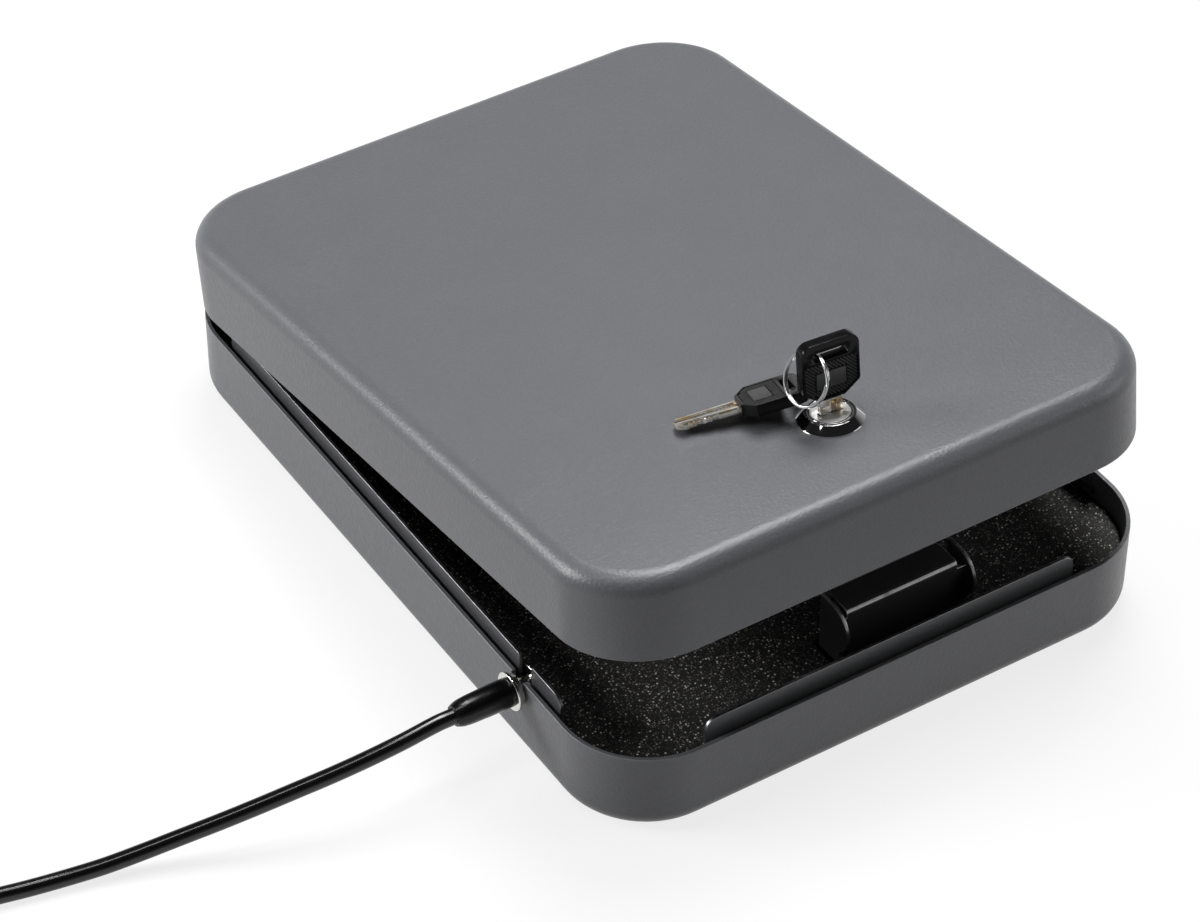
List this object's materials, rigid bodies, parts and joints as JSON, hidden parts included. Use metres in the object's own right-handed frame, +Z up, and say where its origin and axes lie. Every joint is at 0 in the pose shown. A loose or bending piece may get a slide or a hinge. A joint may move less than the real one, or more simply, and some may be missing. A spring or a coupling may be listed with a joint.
{
  "type": "lock box",
  "caption": "Portable steel lock box with a hinged lid, a keyed cam lock with two keys on a ring, foam lining and a tether cable with an eye.",
  "frame": {"origin": "centre of the box's flat underside, on the surface that the box stands on", "axes": "+X to the right, -Y to the front (lock side), +Y to the hinge, +Z up"},
  "size_m": [0.4731, 0.2913, 0.1274],
  "materials": {
    "painted_steel": "satin charcoal powder coat",
    "grey_steel": "satin dark grey",
    "black_steel": "satin black",
    "foam": "open-cell foam",
    "zinc": "zinc plated",
    "chrome": "polished",
    "wafer_brass": "plain",
    "key_metal": "nickel-brass, satin",
    "key_plastic": "satin black",
    "ring_steel": "polished",
    "cable_sleeve": "gloss black coating",
    "tie": "matte black"
  },
  "bodies": {
    "base": {"base_shell": "painted_steel", "front_lip": "grey_steel", "left_lip_rear": "grey_steel", "left_lip_front": "grey_steel", "right_lip": "grey_steel", "catch_plate": "black_steel", "catch_cheeks": "black_steel", "base_foam": "foam", "hinge_leaf_base": "black_steel", "hinge_pin": "zinc", "cable_collar": "zinc", "cable_boot": "cable_sleeve", "cable_lead": "cable_sleeve", "cable_coil": "cable_sleeve", "coil_ties": "tie", "cable_tail": "cable_sleeve", "cable_ferrule": "zinc", "cable_eye": "cable_sleeve"},
    "lid": {"lid_shell": "painted_steel", "lid_foam": "foam", "hinge_leaf_lid": "black_steel", "lock_body": "chrome", "lock_nut": "zinc", "lock_washer": "zinc"},
    "plug": {"lock_plug": "chrome", "lock_wafers": "wafer_brass", "wafer_springs": "zinc", "lock_stop_washer": "zinc", "lock_cam": "zinc", "cam_washer": "zinc", "cam_nut": "zinc"},
    "key_1": {"key_1_blade": "key_metal", "key_1_head": "key_plastic"},
    "ring": {"key_ring": "ring_steel"},
    "key_2": {"key_2_blade": "key_metal", "key_2_head": "key_plastic"}
  },
  "joints": [
    {"name": "lid_hinge", "type": "hinge", "parent": "base", "child": "lid", "pos_m": [0, 0.1445, 0.0325], "axis": [-1, 0, 0], "range_deg": [-7.8, 82.2]},
    {"name": "lock_turn", "type": "hinge", "parent": "lid", "child": "plug", "pos_m": [0.002, -0.09708, 0.09688], "axis": [0, -0.1357, -0.9907], "range_deg": [-6, 84]},
    {"name": "key_1_slide", "type": "slide", "parent": "plug", "child": "key_1", "axis": [0, 0.1357, 0.9907], "range_m": [0, 0.03]},
    {"name": "ring_swing", "type": "hinge", "parent": "key_1", "child": "ring", "pos_m": [-0.00255, -0.09314, 0.12258], "axis": [0, 0.1357, 0.9907], "range_deg": [-20, 0]},
    {"name": "key_2_swing", "type": "hinge", "parent": "ring", "child": "key_2", "pos_m": [-0.0064, -0.09463, 0.11492], "axis": [0.8826, 0.0907, -0.4612], "range_deg": [0, 40]}
  ]
}
